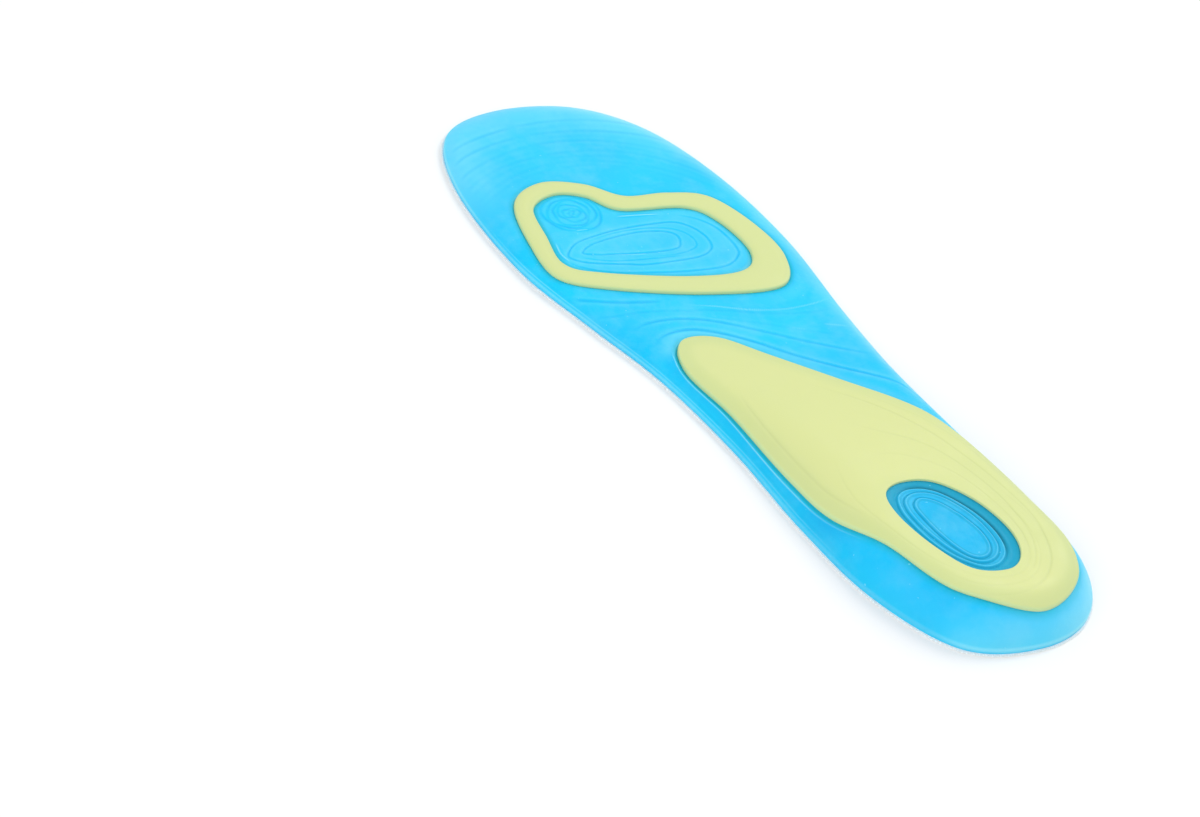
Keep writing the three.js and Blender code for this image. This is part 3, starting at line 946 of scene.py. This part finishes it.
class INSOLE_OT_ball_cushion(bpy.types.Operator):
    """Adds the soft blue pad inside the ring, with its whorl and nested ovals"""

    bl_idname = "insole.ball_cushion"
    bl_label = "Ball Cushion"

    MIDDLE = (-3.0, 57.0)              # where the pad's spokes meet
    SWELL = 0.95                       # how far it stands above the frame's flat pad

    def execute(self, context):
        shape, tint = context.scene.insole_shape, context.scene.insole_colours
        outline = even_steps(moved_out(ring_inner, 0.1), 420)
        low, high = box_mm("ball_cushion")

        def surface(points):
            edge, _ = nearest(points, outline, closed=True)
            lines = moulded(points, BALL_OVALS, closed=True) + moulded(points, BALL_LINES)
            lines = lines + self.whorl(points)
            lines = 1.35 * lines * smooth(0.6, 1.6, edge) * shape.groove_depth
            height = high[2] + self.SWELL + 0.15 * smooth(1.0, 9.0, edge) - 0.3 * bump(edge, 0.9) - lines
            # Painted shade in the sunken lines and at the pad's edge, painted highlights on the raised
            # lines.
            groove_shade, thin_and_highlight = 3.8 * np.maximum(lines, 0), 0.1 - 5.0 * lines
            return height, {"groove_shade": groove_shade, "thin_and_highlight": thin_and_highlight, "painted_shade": 0.6 * falling(0.0, 2.6, edge)}

        grid, fields = pad_grid(outline, np.array(self.MIDDLE), 96, surface, low[2] - 0.5 * GAP)
        piece = add_piece("ball_pad", grid, fields, close_rows=True)
        material = soft_gel("blue pad gel", tint.gel, tint.deep_gel_and_shade, tint.pale_gel_and_highlight)
        finish_piece(piece, material, "ball_gel", "ball_cushion")
        return {"FINISHED"}

    def whorl(self, points):
        """Rings about the middle of the lobe, whose radius wavers with the angle like the ridges
        of a finger, deeper towards the middle."""
        away = (points - np.array(BALL_WHORL)) * np.array([0.94, 1.0])
        radius = np.linalg.norm(away, axis=1)
        angle = np.arctan2(away[:, 1], away[:, 0])
        total = np.zeros(len(points))
        for number, middle in enumerate(WHORL_RADII):
            waver = 0.35 * np.sin(2 * angle + 1.9 * number) + 0.2 * np.sin(5 * angle + 2.7 * number)
            broken = 0.65 + 0.35 * np.sin(3 * angle + 2.1 * number)
            total += 0.115 * broken * bump(radius - middle - waver, 0.36)
        return total


class INSOLE_OT_heel_cushion(bpy.types.Operator):
    """Adds the soft stepped pad in the window of the support"""

    bl_idname = "insole.heel_cushion"
    bl_label = "Heel Cushion"

    def execute(self, context):
        tint = context.scene.insole_colours
        outline = even_steps(moved_out(window, 0.1), 320)
        low, high = box_mm("heel_cushion")
        ovals = [counter_clockwise(spline(points, True, per_span=6)) for points in HEEL_OVALS]

        def surface(points):
            edge, _ = nearest(points, outline, closed=True)
            height = high[2] - 0.5 + 0.3 * smooth(0.0, 3.0, edge) + 0.55 * falling(0.2, 2.6, edge)
            depths = [depth_inside(points, oval) for oval in ovals]
            grooves, crests = np.zeros((2, len(points)))
            for within in depths:
                height = height + 0.22 * smooth(-0.14, 0.14, within)
                height = height + 0.24 * bump(within - 0.35, 0.2) - 0.2 * bump(within + 0.35, 0.22)
                # Painted shade at the foot of every step, painted highlight along every crest.
                grooves += bump(within + 0.3, 0.3) + 0.6 * bump(within - 0.95, 0.28)
                crests += bump(within - 0.35, 0.17)
            outermost = depths[0]
            annulus = falling(-0.6, 0.2, outermost)
            x, y = points.T
            crease = bump(outermost + 0.55, 0.55) * smooth(-3, 7, x + 0.35 * (y + 92))
            height = height - 0.25 * crease
            notch = (points - np.array(HEEL_NOTCH)) @ np.array([[0.94, 0.34], [0.34, -0.94]])
            height = height + 0.14 * np.exp(-(notch[:, 0] / 0.5) ** 4 - (notch[:, 1] / 1.2) ** 4)
            # Painted shade in the outer band, on its upper-right part, at the pad's edge and in the crease
            # outside the outermost oval.
            groove_shade = annulus + grooves * (1 - annulus)
            painted_shade = 0.15 * annulus * smooth(-8, 8, x + 0.5 * (y + 92))
            painted_shade = painted_shade + 0.3 * bump(edge, 0.7) + 0.85 * crease
            return height, {"groove_shade": groove_shade, "thin_and_highlight": 0.3 * crests, "painted_shade": painted_shade}

        grid, fields = pad_grid(outline, window.mean(0), 150, surface, low[2] - 0.5 * GAP)
        piece = add_piece("heel_pad", grid, fields, close_rows=True)
        body = tuple(0.6 * deep + 0.4 * gel for deep, gel in zip(tint.deep_gel_and_shade, tint.gel))
        material = soft_gel(
            "teal heel gel", body, tint.heel_gel, tint.pale_gel_and_highlight, shade=BLUE_IN_WINDOW, rough=0.55
        )
        finish_piece(piece, material, "heel_gel", "heel_cushion")
        return {"FINISHED"}


class INSOLE_OT_cover(bpy.types.Operator):
    """Adds the knitted cover with its frayed cut edge, and the film behind the gel"""

    bl_idname = "insole.cover"
    bl_label = "Cloth Cover"

    def execute(self, context):
        tint = context.scene.insole_colours
        self.film()
        outline = even_steps(sole, 1600)
        share = np.arange(len(outline)) / len(outline) * 2 * np.pi
        ragged = sum(0.05 * np.sin(turns * share + turns) for turns in (61, 137, 293))
        outline = moved_out(outline, 0.34) + ragged[:, None] * (moved_out(outline, 1.0) - outline)
        ends = spokes(outline, 640, lambda y: np.ones_like(y))
        plan = spoke_points(ends, 22, self.density)
        layers = Layers(plan.reshape(-1, 2))
        x, y = plan.reshape(-1, 2).T
        weft = 0.05 * np.sin(2.1 * y) * np.sin(2.4 * x)
        ease = smooth(0.2, 2.0, layers.edge)
        high = raised(plan, layers.cloth_high + 0.12 - 0.3 * falling(0.1, 1.2, layers.edge))
        low = raised(plan, layers.cloth_low + 0.02 + (0.05 + weft) * ease)
        piece = add_piece("knitted_cover", sandwich(high, low))
        finish_piece(piece, knit("pale blue knit", tint.cloth), "cloth", "top_cloth")
        fringe = self.fringe(context, outline)
        return {"FINISHED"}

    def density(self, points):
        """High close to the cut edge."""
        edge, _ = nearest(points, sole[::3], closed=True)
        return 1 + 9 * np.exp(-edge / 0.8)

    def film(self):
        """The film, trimmed just inside the edge of the gel."""
        plan = sole_rows(moved_out(even_steps(sole, 600), -1.8), 120, 40)
        layers = Layers(plan.reshape(-1, 2))
        grid = sandwich(raised(plan, layers.film_high), raised(plan, layers.film_low))
        finish_piece(add_piece("gel_film", grid), thin_film(), "film", "film_backing")

    def fringe(self, context, outline):
        """Loose fibres: each a three-sided taper with one bend, rooted in the cut edge, leaning
        out, along it and a little down. Thick and thin stretches follow three slow waves."""
        shape, tint = context.scene.insole_shape, context.scene.insole_colours
        rng = np.random.default_rng(7)
        count = shape.fibres
        edge = even_steps(outline, 3000)
        share = np.arange(len(edge)) / len(edge) * 2 * np.pi
        thick = 0.5 + 0.25 * np.sin(9 * share + 0.6) + 0.2 * np.sin(23 * share)
        thick = thick + 0.15 * np.sin(47 * share + 2)
        inner_side = falling(-30, 10, edge[:, 0])
        weight = np.clip(thick, 0.08, None) * (0.45 + inner_side)
        pick = rng.choice(len(edge), count, p=weight / weight.sum())
        along = np.roll(edge, -1, 0)[pick] - np.roll(edge, 1, 0)[pick]
        along = np.column_stack([along / np.linalg.norm(along, axis=1)[:, None], np.zeros(count)])
        out = np.column_stack([along[:, 1], -along[:, 0], np.zeros(count)])
        up = np.broadcast_to([0.0, 0.0, 1.0], out.shape)
        root = np.column_stack([edge[pick], rng.uniform(0.15, 0.75, count)]) - 0.12 * out
        reach = shape.fringe / MM * rng.beta(1.6, 2.6, count)[:, None]
        first = out + along * rng.normal(0, 0.5, (count, 1)) + up * rng.normal(0.12, 0.22, (count, 1))
        second = first + along * rng.normal(0, 0.5, (count, 1)) + up * rng.normal(-0.1, 0.25, (count, 1))
        middle = root + first * reach * 0.5
        tip = middle + second * reach * 0.5
        middle[:, 2] = np.maximum(middle[:, 2], 0.05)
        tip[:, 2] = np.maximum(tip[:, 2], 0.03)
        rings = []
        for centre, radius in ((root, 0.05), (middle, 0.038)):
            turns = (0.0, 2 * np.pi / 3, 4 * np.pi / 3)
            rings += [centre + radius * (np.cos(turn) * along + np.sin(turn) * up) for turn in turns]
        points = np.stack([*rings, tip], axis=1)
        pattern = np.array([
            (0, 2, 1), (0, 1, 4), (0, 4, 3), (1, 2, 5), (1, 5, 4), (2, 0, 3), (2, 3, 5),
            (3, 4, 6), (4, 5, 6), (5, 3, 6),
        ])
        faces = (np.arange(count)[:, None, None] * points.shape[1] + pattern[None]).reshape(-1, 3)
        points = points.reshape(-1, 3)
        piece = add_mesh("cut_edge_fibres", points, outward(points, faces))
        finish = Finish("loose fibre")
        base = finish.blend(finish.noise(300.0), (0.84, 0.94, 0.97), (0.95, 0.97, 0.98))
        finish.paint(base)
        finish.set(Roughness=0.85, Sheen_Weight=0.2, Sheen_Roughness=0.5)
        return finish_piece(piece, finish.material, "cloth")


class INSOLE_OT_stage(bpy.types.Operator):
    """Adds the pale floor, the soft lights and the camera"""

    bl_idname = "insole.stage"
    bl_label = "Stage"

    AIM = (-0.05693, 0.00245, 0.0)     # where the camera's axis meets the floor
    AZIMUTH, ELEVATION, ROLL = -44.906, 41.206, 14.042
    DISTANCE = 0.87786
    LENS, SENSOR = 90.0, 36.0

    def execute(self, context):
        self.camera(context)
        floor = self.floor()
        self.lights(context)
        return {"FINISHED"}

    def camera(self, context):
        """A long lens at a fixed direction and distance from its aim, rolled about its axis."""
        turn, lift, roll = np.radians((self.AZIMUTH, self.ELEVATION, self.ROLL))
        back = Vector((np.sin(turn) * np.cos(lift), -np.cos(turn) * np.cos(lift), np.sin(lift)))
        right = Vector((0, 0, 1)).cross(back).normalized()
        up = back.cross(right)
        side = right * np.cos(roll) + up * np.sin(roll)
        up = up * np.cos(roll) - right * np.sin(roll)
        data = bpy.data.cameras.new("camera")
        data.lens, data.sensor_width, data.sensor_fit = self.LENS, self.SENSOR, "HORIZONTAL"
        data.clip_start, data.clip_end = 0.05, 20.0
        camera = bpy.data.objects.new("camera", data)
        spot = Vector(self.AIM) + back * self.DISTANCE
        camera.matrix_world = Matrix.Translation(spot) @ Matrix((side, up, back)).transposed().to_4x4()
        context.scene.collection.objects.link(camera)
        context.scene.camera = camera

    def floor(self):
        """A wide flat sheet just under the insole."""
        size = 6.0
        corners = [(-size, -size, 0), (size, -size, 0), (size, size, 0), (-size, size, 0)]
        mesh = bpy.data.meshes.new("floor")
        mesh.from_pydata(corners, [], [(0, 1, 2, 3)])
        floor = bpy.data.objects.new("floor", mesh)
        bpy.context.scene.collection.objects.link(floor)
        finish = Finish("pale floor")
        base = finish.blend(finish.noise(3.0), (0.88, 0.88, 0.885), (0.90, 0.90, 0.90))
        finish.paint(base)
        finish.set(Roughness=0.7)
        mesh.materials.append(finish.material)
        return floor

    def lights(self, context):
        """A large soft key light from the toe and outer side, a weak fill and an even sky."""
        for name, spot, size, power in (
            ("key", (1.35, 0.3, 1.3), 0.9, 13.0),
            ("fill", (-1.3, -0.5, 0.9), 1.6, 9.0),
        ):
            data = bpy.data.lights.new(name, "AREA")
            data.shape, data.size, data.energy = "DISK", size, power
            light = bpy.data.objects.new(name, data)
            aim = Vector((0, 0, 0)) - Vector(spot)
            turn = aim.to_track_quat("-Z", "Y").to_matrix().to_4x4()
            light.matrix_world = Matrix.Translation(spot) @ turn
            context.scene.collection.objects.link(light)
        world = bpy.data.worlds.new("sky")
        world.use_nodes = True
        background = world.node_tree.nodes["Background"]
        background.inputs["Color"].default_value = (1.0, 1.0, 1.0, 1.0)
        background.inputs["Strength"].default_value = 0.78
        context.scene.world = world
        context.scene.view_settings.view_transform = "Standard"


class INSOLE_PT_panel(bpy.types.Panel):
    """Lists the insole's sizes, colours and pieces"""

    bl_idname = "INSOLE_PT_panel"
    bl_label = "Gel Insole"
    bl_space_type = "VIEW_3D"
    bl_region_type = "UI"
    bl_category = "Insole"

    def draw(self, context):
        for group in (context.scene.insole_shape, context.scene.insole_colours):
            box = self.layout.box()
            for key in group.__annotations__:
                box.prop(group, key)
        for maker in MAKERS:
            self.layout.operator(maker.bl_idname)


MAKERS = (
    INSOLE_OT_stage,
    INSOLE_OT_gel_body,
    INSOLE_OT_support,
    INSOLE_OT_ball_ring,
    INSOLE_OT_ball_cushion,
    INSOLE_OT_heel_cushion,
    INSOLE_OT_cover,
)
CLASSES = (InsoleShape, InsoleColours, *MAKERS, INSOLE_PT_panel)


def register():
    for item in CLASSES:
        bpy.utils.register_class(item)
    bpy.types.Scene.insole_shape = bpy.props.PointerProperty(type=InsoleShape)
    bpy.types.Scene.insole_colours = bpy.props.PointerProperty(type=InsoleColours)


def unregister():
    del bpy.types.Scene.insole_colours
    del bpy.types.Scene.insole_shape
    for item in reversed(CLASSES):
        bpy.utils.unregister_class(item)


def main():
    register()
    bpy.ops.insole.stage()
    bpy.ops.insole.gel_body()
    bpy.ops.insole.support()
    bpy.ops.insole.ball_ring()
    bpy.ops.insole.ball_cushion()
    bpy.ops.insole.heel_cushion()
    bpy.ops.insole.cover()


if __name__ == "__main__":
    main()
